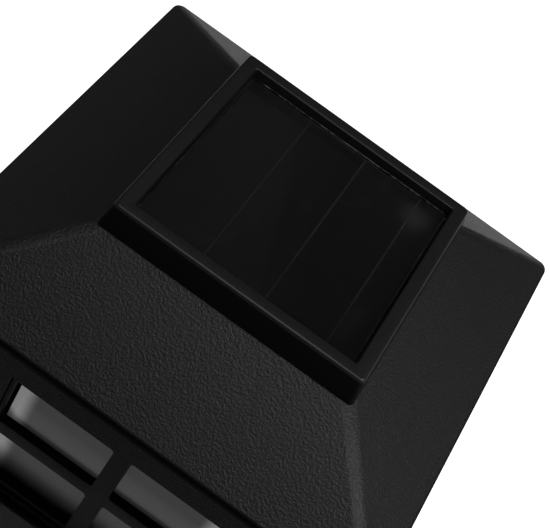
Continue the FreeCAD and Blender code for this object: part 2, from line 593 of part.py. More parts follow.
def underTray():
    """Plate with a locating rim and a hanging housing for board, battery and switch."""
    body = newBody("under_tray")
    outline = newSketch(body, "trayOutline", "XY_Plane", "trayBottom")
    roundedSquare(outline, "traySide", "hollowRadius")
    pad(body, "trayPlate", outline, "trayThick")
    rim = newSketch(body, "rimOutline", "XY_Plane", "trayBottom")
    centredRectangle(rim, "rimSide", "rimSide")
    centredRectangle(rim, "rimSide - 2 * rimWall", "rimSide - 2 * rimWall")
    pad(body, "locatingRim", rim, "rimDepth", downwards=True)
    housing = newSketch(body, "housingOutline", "XY_Plane", "trayBottom")
    roundedSquare(housing, "housingSide", "hollowRadius")
    pad(body, "housingBlock", housing, "housingDrop", downwards=True)
    inside = newSketch(body, "housingInsideOutline", "XY_Plane", "trayTop")
    centredRectangle(inside, "housingInside", "housingInside")
    pocket(body, "housingHollow", inside, "trayTop - housingFloor")
    stops = newSketch(body, "batteryStops", "XY_Plane", "housingFloor")
    for sign in ("-", ""):
        centredRectangle(stops, "stopThick + housingWall / 2", "stopWidth",
                         f"{sign}(contactOutside + housingInside / 2 + housingWall / 2) / 2", "batteryY")
    pad(body, "batteryEndStops", stops, "2 * batteryRadius")
    posts = newSketch(body, "standoffOutlines", "XY_Plane", "housingFloor")
    fourCircles(posts, "boardScrewX", "boardScrewY", "standoffRadius", "boardMiddle")
    pad(body, "standoffs", posts, "standoff")
    pilots = newSketch(body, "standoffBores", "XY_Plane", "boardBottom")
    fourCircles(pilots, "boardScrewX", "boardScrewY", "boardScrewRadius + screwClearance", "boardMiddle")
    pocket(body, "standoffHoles", pilots, "boardScrewBite + boreSpare / 2")
    ears = newSketch(body, "earOutlines", "YZ_Plane", "-(earOutside)")
    rectangle(ears, "hingeY - knuckleRadius", "hingeZ", "hingeY + knuckleRadius",
              "housingBottom + housingWall / 2")
    pad(body, "earBlocks", ears, "2 * earOutside")
    rounds = newSketch(body, "earRounds", "YZ_Plane", "-(earOutside)")
    circle(rounds, "hingeY", "hingeZ", "knuckleRadius")
    pad(body, "earEnds", rounds, "2 * earOutside")
    gap = newSketch(body, "knuckleGap", "YZ_Plane", "-(earInside)")
    rectangle(gap, "hingeY - 2 * knuckleRadius", "hingeZ - 2 * knuckleRadius",
              "hingeY + 2 * knuckleRadius", "housingBottom")
    pocket(body, "knuckleSpace", gap, "2 * earInside", upwards=True)
    pinHole = newSketch(body, "pinHoleOutline", "YZ_Plane", "0")
    circle(pinHole, "hingeY", "hingeZ", "pinRadius + pinClearance")
    pocket(body, "pinHole", pinHole)
    floorHoles = newSketch(body, "floorHoles", "XY_Plane", "housingFloor")
    circle(floorHoles, "0", "0", "lensRadius + lensClearance")
    centredRectangle(floorHoles, "2 * doorOpeningHalfX", "2 * doorOpeningHalfY", "0", "batteryY")
    centredRectangle(floorHoles, "slotLength", "slotWidth", "slotMiddle", "switchPlaceY")
    pocket(body, "floorOpenings", floorHoles, "housingWall")
    screwHoles = newSketch(body, "trayScrewHoles", "XY_Plane", "trayTop")
    fourCircles(screwHoles, "trayScrewPlace", "trayScrewPlace", "screwRadius + screwClearance")
    pocket(body, "trayScrewBores", screwHoles, "trayThick")


def trayScrews():
    screwSet("tray_screws", cornerPlaces("trayScrewPlace", "trayScrewPlace"),
             "trayBottom - headHeight", "headHeight", "headRadius", "screwRadius",
             "trayThick + screwBite - boreSpare", upwards=True)


def traySeal():
    plate("tray_seal", "rimSide + 2 * rimClearance + 2 * traySealWidth", "bodyTop", "traySealThick",
          hole="chamberSide")


# ---- Electronics ----

def circuitBoard():
    body = newBody("circuit_board")
    outline = newSketch(body, "boardOutline", "XY_Plane", "boardBottom")
    centredRectangle(outline, "boardLength", "boardWidth", "0", "boardMiddle")
    fourCircles(outline, "boardScrewX", "boardScrewY", "boardScrewRadius + screwClearance", "boardMiddle")
    pad(body, "board", outline, "boardThick")


def boardScrews():
    screwSet("board_screws", cornerPlaces("boardScrewX", "boardScrewY", "boardMiddle"),
             "boardTop", "boardHeadHeight", "boardHeadRadius", "boardScrewRadius",
             "boardThick + boardScrewBite", upwards=False)


def boardParts():
    """Controller, coil and capacitor on top of the board."""
    chip = block("chip", ("chipSide", "chipSide", "chipThick"),
                 ("-chipSide / 2", "boardMiddle - chipSide / 2", "boardTop"))
    coil = cylinder("coil", "coilRadius", "coilHeight", ("-partSpacing", "boardMiddle", "boardTop"))
    cap = cylinder("capacitor", "capRadius", "capHeight", ("partSpacing", "boardMiddle", "boardTop"))
    keep(group("boardParts", chip, coil, cap), "board_parts")


def ledEmitter():
    keep(block("ledEmitter", ("emitterSide", "emitterSide", "standoff - lensFlangeThick"),
               ("-emitterSide / 2", "-emitterSide / 2", "housingFloor + lensFlangeThick")), "led_emitter")


def ledLens():
    """Dome under the housing floor, held by a flange above it."""
    ball = doc.addObject("Part::Sphere", "lensBall")
    bind(ball, Radius="lensRadius", Placement__Base__z="housingFloor")
    upper = block("lensUpper", ("4 * lensRadius", "4 * lensRadius", "2 * lensRadius"),
                  ("-2 * lensRadius", "-2 * lensRadius", "housingFloor"))
    flange = cylinder("lensFlangeRing", "lensRadius + lensFlange", "lensFlangeThick",
                      ("0", "0", "housingFloor"))
    keep(fuse("ledLens", cut("lensDome", ball, upper), flange), "led_lens")


# ---- Battery, door and switch ----

def batteryCell():
    can = cylinder("batteryCan", "batteryRadius", "batteryLength",
                   ("-batteryLength / 2", "batteryY", "batteryZ"), "x")
    nub = cylinder("batteryNub", "batteryNubRadius", "batteryNubHeight",
                   ("batteryLength / 2", "batteryY", "batteryZ"), "x")
    keep(fuse("batteryCell", can, nub), "battery_cell")


def batteryContacts():
    """A flat contact at the nub and a stepped one that reaches the other end."""
    def sheetAt(name, side, thick, low):
        return block(name, (thick, side, side), (low, f"batteryY - {side} / 2", f"batteryZ - {side} / 2"))
    plus = sheetAt("contactPlus", "contactSide", "contactThick", "contactInside")
    back = sheetAt("contactMinusBack", "contactSide", "contactThick", "-(contactOutside)")
    step = sheetAt("contactMinusStep", "contactSide / 2", "batteryNubHeight", "-(contactInside)")
    keep(group("batteryContacts", plus, fuse("contactMinus", back, step)), "battery_contacts")


def batteryDoor():
    """Flat cover with a long knuckle, which swings down about the pin."""
    body = newBody("battery_door")
    cover = newSketch(body, "doorOutline", "XY_Plane", "doorTop")
    rectangle(cover, "-(doorOpeningHalfX + doorLap)", "batteryY - doorOpeningHalfY - doorLap",
              "doorOpeningHalfX + doorLap", "hingeY - hingeReach")
    pad(body, "doorPlate", cover, "doorThick", downwards=True)
    web = newSketch(body, "webOutline", "XY_Plane", "doorTop")
    centredRectangle(web, "knuckleLength", "2 * hingeReach", "0", "hingeY - hingeReach")
    pad(body, "doorWeb", web, "doorThick", downwards=True)
    knuckle = newSketch(body, "knuckleOutline", "YZ_Plane", "-knuckleLength / 2")
    circle(knuckle, "hingeY", "hingeZ", "knuckleRadius")
    pad(body, "doorKnuckle", knuckle, "knuckleLength")
    bore = newSketch(body, "knuckleBore", "YZ_Plane", "0")
    circle(bore, "hingeY", "hingeZ", "pinRadius + pinClearance")
    pocket(body, "doorBore", bore)


def doorHingePin():
    keep(cylinder("doorHingePin", "pinRadius", "2 * earOutside", ("-(earOutside)", "hingeY", "hingeZ"), "x"),
         "door_hinge_pin")


def switchHousing():
    """Body of the slide switch under the board, with a slot that its knob runs in."""
    box = block("switchBox", ("switchLength", "switchWidth", "boardBottom - switchBottom"),
                ("slotMiddle - switchLength / 2", "switchPlaceY - switchWidth / 2", "switchBottom"))
    slot = block("switchSlot", ("slotLength", "slotWidth", "knobEntry + knobClearance"),
                 ("slotMiddle - slotLength / 2", "switchPlaceY - slotWidth / 2", "switchBottom"))
    keep(cut("switchHousing", box, slot), "switch_housing")


def switchKnob():
    tall = "switchBottom + knobEntry - housingBottom + knobProud"
    keep(block("switchKnob", ("knobLength", "knobWidth", tall),
               ("switchPlaceX - knobLength / 2", "switchPlaceY - knobWidth / 2",
                "housingBottom - knobProud")), "switch_knob")


def buildAll():
    basePlinth()
    plinthScrews()
    bodyShell()
    for side, turn in (("front", 0), ("right", 90), ("back", 180), ("left", 270)):
        windowGrille(side, turn)
        windowPane(side, turn)
    coneReflector()
    roofShell()
    panelBezel()
    bezelScrews()
    plate("panel_seal", "panelSide", "seatLevel", "panelSealThick", hole="seatSide")
    plate("panel_backing", "panelSide", "sealTop", "backingThick")
    solarCells()
    plate("panel_glass", "panelSide", "cellTop", "glassThick")
    underTray()
    trayScrews()
    traySeal()
    circuitBoard()
    boardScrews()
    boardParts()
    ledEmitter()
    ledLens()
    batteryCell()
    batteryContacts()
    batteryDoor()
    doorHingePin()
    switchHousing()
    switchKnob()
    doc.recompute()


def checkAndWrite():
    """Stops on a failed object, then writes each sub-part to its own file."""
    for thing in doc.Objects:
        if "Invalid" in thing.State or "Error" in thing.State:
            raise RuntimeError(f"{thing.Name} failed: {thing.State}")
    for thing in subparts:
        if thing.Shape.isNull() or not thing.Shape.isValid():
            raise RuntimeError(f"{thing.Label} has no valid shape")
    os.makedirs("parts", exist_ok=True)
    for thing in subparts:
        thing.Shape.exportStep(f"parts/{thing.Label}.step")
        box = thing.Shape.BoundBox
        print(f"{thing.Label:18} solids {len(thing.Shape.Solids):2}  volume {thing.Shape.Volume:10.1f}  "
              f"x {box.XMin:7.2f} {box.XMax:7.2f}  y {box.YMin:7.2f} {box.YMax:7.2f}  "
              f"z {box.ZMin:7.2f} {box.ZMax:7.2f}")


buildAll()
checkAndWrite()
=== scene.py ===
import math

import bmesh
import bpy
from mathutils import Euler, Matrix, Vector


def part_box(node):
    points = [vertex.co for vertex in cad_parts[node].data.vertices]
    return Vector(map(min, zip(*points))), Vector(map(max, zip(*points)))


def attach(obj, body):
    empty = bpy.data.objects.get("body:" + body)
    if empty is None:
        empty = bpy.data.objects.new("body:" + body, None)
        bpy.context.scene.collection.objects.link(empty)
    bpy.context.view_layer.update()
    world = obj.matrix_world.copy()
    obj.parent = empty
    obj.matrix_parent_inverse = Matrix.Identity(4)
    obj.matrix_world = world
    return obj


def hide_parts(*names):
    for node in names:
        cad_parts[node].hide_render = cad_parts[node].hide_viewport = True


# A solar fence light. The roof, panel frame and cover, lantern walls, window grilles, panes and
# reflector are modelled here. The base, the solar cells and the hidden works keep their packed
# shapes and get their finishes. Metres, +Z up.
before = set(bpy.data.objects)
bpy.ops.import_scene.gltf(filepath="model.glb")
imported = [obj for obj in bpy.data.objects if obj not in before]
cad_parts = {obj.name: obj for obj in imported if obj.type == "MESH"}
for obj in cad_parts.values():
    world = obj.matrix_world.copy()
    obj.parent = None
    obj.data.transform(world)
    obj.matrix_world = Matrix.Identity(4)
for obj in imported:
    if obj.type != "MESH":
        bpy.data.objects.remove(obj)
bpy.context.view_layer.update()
mm = 0.001
touching = 0.01 * mm     # points nearer than this count as level or in line
merging = 0.001 * mm     # points nearer than this become one

# the camera stands where the photograph was taken from
photoCamera = {
    "place": (0.00943, -0.28363, 0.41672),
    "turn": (37.4601, -22.8241, 28.2524),    # degrees about X, Y and Z
    "lens": 93.5465,
    "sensor": 36.0,
    "nearest": 0.01,
}


def makeCamera():
    lens = bpy.data.cameras.new("photoCamera")
    lens.sensor_fit = "HORIZONTAL"
    lens.sensor_width = photoCamera["sensor"]
    lens.lens = photoCamera["lens"]
    lens.clip_start = photoCamera["nearest"]
    camera = bpy.data.objects.new("photoCamera", lens)
    camera.location = photoCamera["place"]
    camera.rotation_euler = Euler([math.radians(angle) for angle in photoCamera["turn"]])
    bpy.context.scene.collection.objects.link(camera)
    bpy.context.scene.camera = camera


makeCamera()
print("camera set")


class Wire:
    # a shader socket that takes part in sums
    def __init__(self, finish, socket):
        self.finish, self.socket = finish, socket

    def sum(self, operation, first, second):
        return self.finish.node("ShaderNodeMath", {"operation": operation}, {0: first, 1: second})

    def __add__(self, other):
        return self.sum("ADD", self, other)

    def __sub__(self, other):
        return self.sum("SUBTRACT", self, other)

    def __mul__(self, other):
        return self.sum("MULTIPLY", self, other)

    def __truediv__(self, other):
        return self.sum("DIVIDE", self, other)

    def __lt__(self, other):
        return self.sum("LESS_THAN", self, other)

    def __rsub__(self, other):
        return self.sum("SUBTRACT", other, self)

    __radd__ = __add__
    __rmul__ = __mul__


class Wiring:
    # a node tree that one shader ends, and the coordinates that its patterns read
    def __init__(self, tree, shader, coordinates):
        self.tree, self.shader = tree, tree.nodes[shader]
        self.place = self.node("ShaderNodeTexCoord", output=coordinates)

    def node(self, kind, settings=None, inputs=None, output=0):
        made = self.tree.nodes.new(kind)
        for name, value in (settings or {}).items():
            setattr(made, name, value)
        for name, value in (inputs or {}).items():
            self.feed(made.inputs[name], value)
        return Wire(self, made.outputs[output])

    def feed(self, socket, value):
        if isinstance(value, Wire):
            self.tree.links.new(value.socket, socket)
        elif isinstance(value, tuple) and len(value) == 3 and socket.type == "RGBA":
            socket.default_value = (*value, 1.0)
        else:
            socket.default_value = value

    def set(self, socket, value):
        self.feed(self.shader.inputs[socket], value)

    def axis(self, name):
        return self.node("ShaderNodeSeparateXYZ", {}, {0: self.place}, output=name)

    def smooth(self, value, low, high):
        # 0 below low, 1 above high, with a soft step between
        return self.node("ShaderNodeMapRange", {"interpolation_type": "SMOOTHSTEP"},
                         {"Value": value, "From Min": low, "From Max": high})

    def blend(self, factor, first, second):
        return self.node("ShaderNodeMix", {"data_type": "RGBA"}, {0: factor, 6: first, 7: second},
                         output=2)

    def sizeOf(self, value):
        return self.node("ShaderNodeMath", {"operation": "ABSOLUTE"}, {0: value})


class Finish(Wiring):
    # a material whose patterns read the piece's own coordinates
    def __init__(self, name, colour, roughness, **constants):
        self.material = bpy.data.materials.new(name)
        self.material.use_nodes = True
        super().__init__(self.material.node_tree, "Principled BSDF", "Object")
        self.set("Base Color", colour)
        self.set("Roughness", roughness)
        for socket, value in constants.items():
            self.set(socket.replace("_", " "), value)

    def noise(self, size, detail=2.0, roughness=0.5):
        # a noise whose blobs are about this many metres across
        return self.node("ShaderNodeTexNoise", {}, {"Vector": self.place, "Scale": 1.0 / size,
                                                    "Detail": detail, "Roughness": roughness})

    def cells(self, size, feature):
        # cells about this many metres across
        return self.node("ShaderNodeTexVoronoi", {"feature": feature},
                         {"Vector": self.place, "Scale": 1.0 / size})

    def bump(self, height, depth):
        self.set("Normal", self.node("ShaderNodeBump", {}, {"Strength": 1.0, "Distance": depth,
                                                            "Height": height}))


pebbleLook = {"tops": (0.42, 0.66), "paler": 2.2, "fineSize": 0.4, "fineShare": 0.3,
              "drift": 45.0 * mm, "unevenness": 0.08}
# colour and roughness of an outer wall that is painted near-black as shade, and the widths of its
# soft edges
paintedShadeLook = {"black": (0.001, 0.001, 0.001), "roughness": 0.80, "edgeUp": 0.6 * mm,
            "edgeOut": 0.5 * mm}


def grainedPlastic(name, black, roughness, grain, depth, gloss, paintedShadeWall=None):
    # moulded plastic: pebbles with paler tops, and a slow change of gloss; where asked, an upright
    # outer wall is painted near-black as shade
    finish = Finish(name, black, roughness, Specular_IOR_Level=gloss)
    pebbles = finish.noise(grain, detail=2.5, roughness=0.55)
    fine = finish.noise(grain * pebbleLook["fineSize"], detail=1.0)
    drift = finish.noise(pebbleLook["drift"], detail=3.0)
    paler = tuple(part * pebbleLook["paler"] for part in black)
    tone = finish.blend(finish.smooth(pebbles, *pebbleLook["tops"]), black, paler)
    dullness = (drift - 0.5) * pebbleLook["unevenness"] + roughness
    relief = pebbles + fine * pebbleLook["fineShare"]
    if paintedShadeWall is not None:
        # painted shade: below a level and beyond a reach from the middle, the upright outer wall
        # loses its pebbles and is painted near-black and partly metallic, standing in for the shadow
        # line under the roof's eave and the dark outer walls of the panel frame
        low = 1.0 - finish.smooth(finish.axis("Z"), paintedShadeWall["below"],
                                  paintedShadeWall["below"] + paintedShadeLook["edgeUp"])
        across = finish.node("ShaderNodeMath", {"operation": "MAXIMUM"},
                             {0: finish.sizeOf(finish.axis("X")), 1: finish.sizeOf(finish.axis("Y"))})
        wall = low * finish.smooth(across, paintedShadeWall["beyond"],
                                   paintedShadeWall["beyond"] + paintedShadeLook["edgeOut"])
        tone = finish.blend(wall, tone, paintedShadeLook["black"])
        dullness = wall * (paintedShadeLook["roughness"] - dullness) + dullness
        relief = relief - relief * wall
        finish.set("Metallic", wall * paintedShadeWall["share"])
    finish.set("Base Color", tone)
    finish.set("Roughness", dullness)
    finish.bump(relief, depth)
    return finish.material


# the roof's eave lip gets painted shade: near-black and partly metallic below the given level
roofLook = {"black": (0.0045, 0.0045, 0.0047), "roughness": 0.50, "grain": 0.76 * mm,
            "depth": 0.31 * mm, "gloss": 0.58,
            "paintedShadeWall": {"below": 107.7 * mm, "beyond": 73.0 * mm, "share": 0.85}}
bodyLook = {"black": (0.0080, 0.0080, 0.0083), "roughness": 0.55, "grain": 0.60 * mm,
            "depth": 0.50 * mm, "gloss": 0.030}
grilleLook = {"black": (0.0080, 0.0080, 0.0083), "roughness": 0.45, "grain": 0.40 * mm,
              "depth": 0.03 * mm, "gloss": 0.020}
# the panel frame's outer walls get painted shade: near-black and partly metallic below the given
# level
bezelLook = {"black": (0.0070, 0.0070, 0.0073), "roughness": 0.42, "grain": 0.35 * mm,
             "depth": 0.010 * mm, "gloss": 0.55,
             "paintedShadeWall": {"below": 136.9 * mm, "beyond": 38.0 * mm, "share": 0.60}}
trayLook = {"black": (0.0120, 0.0120, 0.0125), "roughness": 0.50, "grain": 0.45 * mm,
            "depth": 0.03 * mm, "gloss": 0.40}

roofPlastic = grainedPlastic("roofPlastic", **roofLook)
bodyPlastic = grainedPlastic("bodyPlastic", **bodyLook)
grillePlastic = grainedPlastic("grillePlastic", **grilleLook)
bezelPlastic = grainedPlastic("bezelPlastic", **bezelLook)
trayPlastic = grainedPlastic("trayPlastic", **trayLook)


# tone of the pane, and the light and shade painted on it
paneToneAndPaintedLight = {"endFrom": 28.0 * mm, "endTo": 33.0 * mm, "darkBelow": 33.0 * mm, "lightAbove": 47.5 * mm,
         "shadeIn": (55.0 * mm, 57.0 * mm), "shadeOut": (60.5 * mm, 65.5 * mm), "shadeDepth": 0.8,
         "smoke": ((0.022, 0.022, 0.023), (0.036, 0.036, 0.037)), "flowSize": 30.0 * mm,
         "endPaintedHighlightTone": (0.12, 0.12, 0.125), "glow": 0.041, "endGlow": 0.13, "endGlowAll": 0.01,
         "glowTone": (1.0, 1.0, 1.02)}


def paneSmokeAndPaintedLight():
    # smoky sheet with light painted on it, though it is no lamp: a glow that grows towards its top,
    # a painted highlight at its two bent ends and a band of painted shade just above the cross bar
    finish = Finish("paneSmokeAndPaintedLight", (0.05, 0.05, 0.05), 0.12, Specular_IOR_Level=0.5,
                    Emission_Strength=1.0)
    flow = finish.noise(paneToneAndPaintedLight["flowSize"], detail=2.0)
    across = finish.node("ShaderNodeMath", {"operation": "MINIMUM"},
                         {0: finish.sizeOf(finish.axis("X")), 1: finish.sizeOf(finish.axis("Y"))})
    ends = finish.smooth(across, paneToneAndPaintedLight["endFrom"], paneToneAndPaintedLight["endTo"])
    level = finish.axis("Z")
    height = finish.smooth(level, paneToneAndPaintedLight["darkBelow"], paneToneAndPaintedLight["lightAbove"])
    smoke = finish.blend(flow, *paneToneAndPaintedLight["smoke"])
    finish.set("Roughness", flow * 0.08 + 0.06)
    # painted highlight: the bent ends are lighter in colour too
    finish.set("Base Color", finish.blend(ends, smoke, paneToneAndPaintedLight["endPaintedHighlightTone"]))
    # painted shade: a dimmer band just above the cross bar
    band = finish.smooth(level, *paneToneAndPaintedLight["shadeIn"]) - finish.smooth(level, *paneToneAndPaintedLight["shadeOut"])
    shade = 1.0 - band * paneToneAndPaintedLight["shadeDepth"]
    # painted light: an emitted glow that grows towards the top, with a painted highlight at the bent
    # ends
    glow = ends * paneToneAndPaintedLight["endGlow"] + paneToneAndPaintedLight["glow"]
    shine = height * height * glow * shade + ends * paneToneAndPaintedLight["endGlowAll"]
    finish.set("Emission Color", finish.blend(shine, (0.0, 0.0, 0.0), paneToneAndPaintedLight["glowTone"]))
    return finish.material


coverLook = {"smearSize": 22.0 * mm, "smearEdge": (0.45, 0.80), "dullRange": 0.10, "dullLeast": 0.03}


def coverClear():
    # clear cover of the solar panel, with faint smears
    finish = Finish("coverClear", (0.96, 0.97, 0.98), 0.05, Transmission_Weight=1.0, IOR=1.49)
    smear = finish.smooth(finish.noise(coverLook["smearSize"], detail=4.0, roughness=0.6),
                          *coverLook["smearEdge"])
    finish.set("Roughness", smear * coverLook["dullRange"] + coverLook["dullLeast"])
    return finish.material


solarLook = {"silicon": ((0.0016, 0.0016, 0.0019), (0.0032, 0.0032, 0.0038)), "drift": 18.0 * mm,
             "fingerPitch": 1.6 * mm, "fingerWidth": 0.10 * mm, "fingerShare": 0.08,
             "fingerTone": (0.05, 0.05, 0.055),
             "swirlScale": 38.0, "swirlTwist": 1.6, "smearEdge": (0.55, 0.72), "smearShare": 0.12,
             "smearTone": (0.08, 0.08, 0.085),
             "smudge": (28.0 * mm, 27.0 * mm, 133.7 * mm), "smudgeReach": 8.0 * mm,
             "smudgeEdge": (0.40, 0.62), "smudgeShare": 0.55, "smudgeTone": (0.10, 0.10, 0.10)}


def solarSilicon():
    # near-black cells with fine fingers across the strips, cloudy smears and a pale smudge
    finish = Finish("solarSilicon", (0.004, 0.004, 0.005), 0.30, Specular_IOR_Level=0.5)
    drift = finish.noise(solarLook["drift"], detail=3.0)
    along = finish.axis("Y") / solarLook["fingerPitch"]
    finger = finish.node("ShaderNodeMath", {"operation": "FRACT"}, {0: along})
    line = finger < solarLook["fingerWidth"] / solarLook["fingerPitch"]
    swirl = finish.node("ShaderNodeTexNoise", {},
                        {"Vector": finish.place, "Scale": solarLook["swirlScale"], "Detail": 3.0,
                         "Roughness": 0.6, "Distortion": solarLook["swirlTwist"]})
    smear = finish.smooth(swirl, *solarLook["smearEdge"])
    reach = finish.node("ShaderNodeVectorMath", {"operation": "DISTANCE"},
                        {0: finish.place, 1: solarLook["smudge"]}, output="Value")
    near = 1.0 - finish.smooth(reach, 0.0, solarLook["smudgeReach"])
    smudge = near * finish.smooth(drift, *solarLook["smudgeEdge"])
    silicon = finish.blend(drift, *solarLook["silicon"])
    silicon = finish.blend(smear * solarLook["smearShare"], silicon, solarLook["smearTone"])
    silicon = finish.blend(smudge * solarLook["smudgeShare"], silicon, solarLook["smudgeTone"])
    finish.set("Base Color", finish.blend(line * solarLook["fingerShare"], silicon,
                                          solarLook["fingerTone"]))
    finish.set("Roughness", drift * 0.1 + 0.25)
    return finish.material


plainLook = {"driftSize": 8.0, "darker": 0.8, "dullRange": 0.15, "dullBelow": 0.07}


def plainFinish(name, colour, roughness, size, depth, **constants):
    # a finish for the plainer pieces: a tone that drifts and a light texture of a size and depth
    finish = Finish(name, colour, roughness, **constants)
    drift = finish.noise(size * plainLook["driftSize"], detail=3.0)
    darker = tuple(part * plainLook["darker"] for part in colour)
    finish.set("Base Color", finish.blend(drift, darker, colour))
    finish.set("Roughness", drift * plainLook["dullRange"] + (roughness - plainLook["dullBelow"]))
    finish.bump(finish.noise(size, detail=2.0), depth)
    return finish.material


# name, colour, roughness, size and depth of the texture
panelBoard = plainFinish("panelBoard", (0.055, 0.056, 0.058), 0.45, 0.8 * mm, 0.01 * mm)
sealFoam = plainFinish("sealFoam", (0.020, 0.020, 0.021), 0.90, 0.5 * mm, 0.08 * mm)
screwSteel = plainFinish("screwSteel", (0.60, 0.60, 0.60), 0.30, 0.3 * mm, 0.01 * mm, Metallic=1.0)
contactNickel = plainFinish("contactNickel", (0.72, 0.70, 0.66), 0.25, 0.4 * mm, 0.01 * mm,
                            Metallic=1.0)
switchSteel = plainFinish("switchSteel", (0.58, 0.58, 0.60), 0.35, 0.3 * mm, 0.01 * mm, Metallic=1.0)
knobPlastic = plainFinish("knobPlastic", (0.030, 0.030, 0.030), 0.45, 0.4 * mm, 0.02 * mm)
chipPlastic = plainFinish("chipPlastic", (0.022, 0.022, 0.024), 0.50, 0.3 * mm, 0.02 * mm)
ledPackage = plainFinish("ledPackage", (0.86, 0.82, 0.62), 0.30, 0.4 * mm, 0.01 * mm)
reflectorWhite = plainFinish("reflectorWhite", (0.82, 0.82, 0.82), 0.22, 3.0 * mm, 0.02 * mm)
batterySleeve = plainFinish("batterySleeve", (0.05, 0.22, 0.12), 0.30, 1.5 * mm, 0.02 * mm)


boardLook = {"trackSize": 3.0 * mm, "trackEdge": (0.05, 0.09), "track": (0.035, 0.19, 0.075),
             "mask": (0.012, 0.095, 0.032), "depth": 0.02 * mm}


def boardMask():
    # green solder mask with a faint pattern of tracks
    finish = Finish("boardMask", (0.015, 0.10, 0.035), 0.35)
    between = finish.smooth(finish.cells(boardLook["trackSize"], "DISTANCE_TO_EDGE"),
                            *boardLook["trackEdge"])
    finish.set("Base Color", finish.blend(between, boardLook["track"], boardLook["mask"]))
    finish.bump(between, boardLook["depth"])
    return finish.material


lensLook = {"waveSize": 2.0 * mm, "dullRange": 0.06, "dullLeast": 0.01}


def lensClear():
    # clear lens, a little dull in places
    finish = Finish("lensClear", (0.95, 0.96, 0.97), 0.04, Transmission_Weight=1.0, IOR=1.49)
    wave = finish.noise(lensLook["waveSize"])
    finish.set("Roughness", wave * lensLook["dullRange"] + lensLook["dullLeast"])
    return finish.material


nodeFinishes = {
    "base_plinth": bodyPlastic, "under_tray": trayPlastic, "battery_door": trayPlastic,
    "tray_seal": sealFoam, "panel_seal": sealFoam, "panel_backing": panelBoard,
    "solar_cells": solarSilicon(), "circuit_board": boardMask(), "board_parts": chipPlastic,
    "led_emitter": ledPackage, "led_lens": lensClear(), "battery_cell": batterySleeve,
    "battery_contacts": contactNickel, "door_hinge_pin": screwSteel, "switch_housing": switchSteel,
    "switch_knob": knobPlastic, "plinth_screws": screwSteel, "bezel_screws": screwSteel,
    "tray_screws": screwSteel, "board_screws": screwSteel,
}
for node, finish in nodeFinishes.items():
    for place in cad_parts[node].material_slots:
        place.material = finish
print("finishes made")


def blockMesh(low, high):
    # a box between two corners
    low, high = Vector(low), Vector(high)
    bm = bmesh.new()
    bmesh.ops.create_cube(bm, size=1.0)
    bmesh.ops.scale(bm, vec=high - low, verts=bm.verts)
    bmesh.ops.translate(bm, vec=(high + low) / 2.0, verts=bm.verts)
    return bm


def facesAt(bm, axis, level):
    return [face for face in bm.faces
            if all(abs(vert.co[axis] - level) < touching for vert in face.verts)]


def edgesWhere(bm, test):
    return [edge for edge in bm.edges if test(*(vert.co for vert in edge.verts))]


def isRising(a, b):
    return abs(a.z - b.z) > touching


def roundEdges(bm, edges, radius, segments):
    return bmesh.ops.bevel(bm, geom=edges, offset=radius, offset_type="OFFSET", affect="EDGES",
                           segments=segments, profile=0.5, material=-1, clamp_overlap=True)


def insetFaces(bm, faces, width):
    bmesh.ops.inset_region(bm, faces=faces, thickness=width, use_boundary=True, use_even_offset=True)


def cutAcross(bm, axis, *levels):
    # runs a cut right round the shape at each level along an axis
    for level in levels:
        normal, point = Vector((0.0, 0.0, 0.0)), Vector((0.0, 0.0, 0.0))
        normal[axis], point[axis] = 1.0, level
        everything = bm.verts[:] + bm.edges[:] + bm.faces[:]
        bmesh.ops.bisect_plane(bm, geom=everything, plane_co=point, plane_no=normal)


def creased(edges):
    # the edges where a level face meets one that isn't
    return [edge for edge in edges if len({round(face.normal.z, 2) for face in edge.link_faces}) == 2]


def sinkFace(bm, faces, level):
    # pushes faces straight down to a level and returns them there
    sunk = bmesh.ops.extrude_face_region(bm, geom=faces)
    bmesh.ops.delete(bm, geom=faces, context="FACES_ONLY")
    for vert in extruded(sunk, bmesh.types.BMVert):
        vert.co.z = level
    return extruded(sunk, bmesh.types.BMFace)


def extruded(result, kind):
    return [item for item in result["geom"] if isinstance(item, kind)]


def turnAbout(bm, turn):
    bmesh.ops.rotate(bm, cent=(0.0, 0.0, 0.0), matrix=Matrix.Rotation(math.radians(turn), 3, "Z"),
                     verts=bm.verts)


def openHoles(bm, front, back, holes):
    # cuts holes through a plate that lies across Y; each is left, right, bottom and top
    cutAcross(bm, 0, *sorted({level for hole in holes for level in hole[:2]}))
    cutAcross(bm, 2, *sorted({level for hole in holes for level in hole[2:]}))
    for left, right, bottom, top in holes:
        def inHole(face):
            centre = face.calc_center_median()
            return left < centre.x < right and bottom < centre.z < top
        ends = [face for level in (front, back) for face in facesAt(bm, 1, level) if inHole(face)]
        edges = [edge for face in ends for edge in face.edges]
        bmesh.ops.delete(bm, geom=ends, context="FACES_KEEP_BOUNDARY")
        bmesh.ops.bridge_loops(bm, edges=edges)


def addPiece(name, bm, finish, body, slot, *nodes, sharp=35.0):
    # turns a shape into a finished piece of the light
    bmesh.ops.recalc_face_normals(bm, faces=bm.faces)
    mesh = bpy.data.meshes.new(name)
    bm.to_mesh(mesh)
    bm.free()
    mesh.materials.append(finish)
    mesh.shade_smooth()
    mesh.set_sharp_from_angle(angle=math.radians(sharp))
    piece = bpy.data.objects.new(name, mesh)
    bpy.context.scene.collection.objects.link(piece)
    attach(piece, body)
    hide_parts(*nodes)
    return piece


# a rounding is given as its radius and its number of steps, here and below
roof = {"lip": 2.0 * mm, "topSide": 83.4 * mm, "wall": 2.5 * mm, "hipRound": (3.0 * mm, 8),
        "eaveRound": (0.8 * mm, 4), "eaveSpare": 0.5 * mm, "wellSide": 56.0 * mm, "sharp": 28.0}


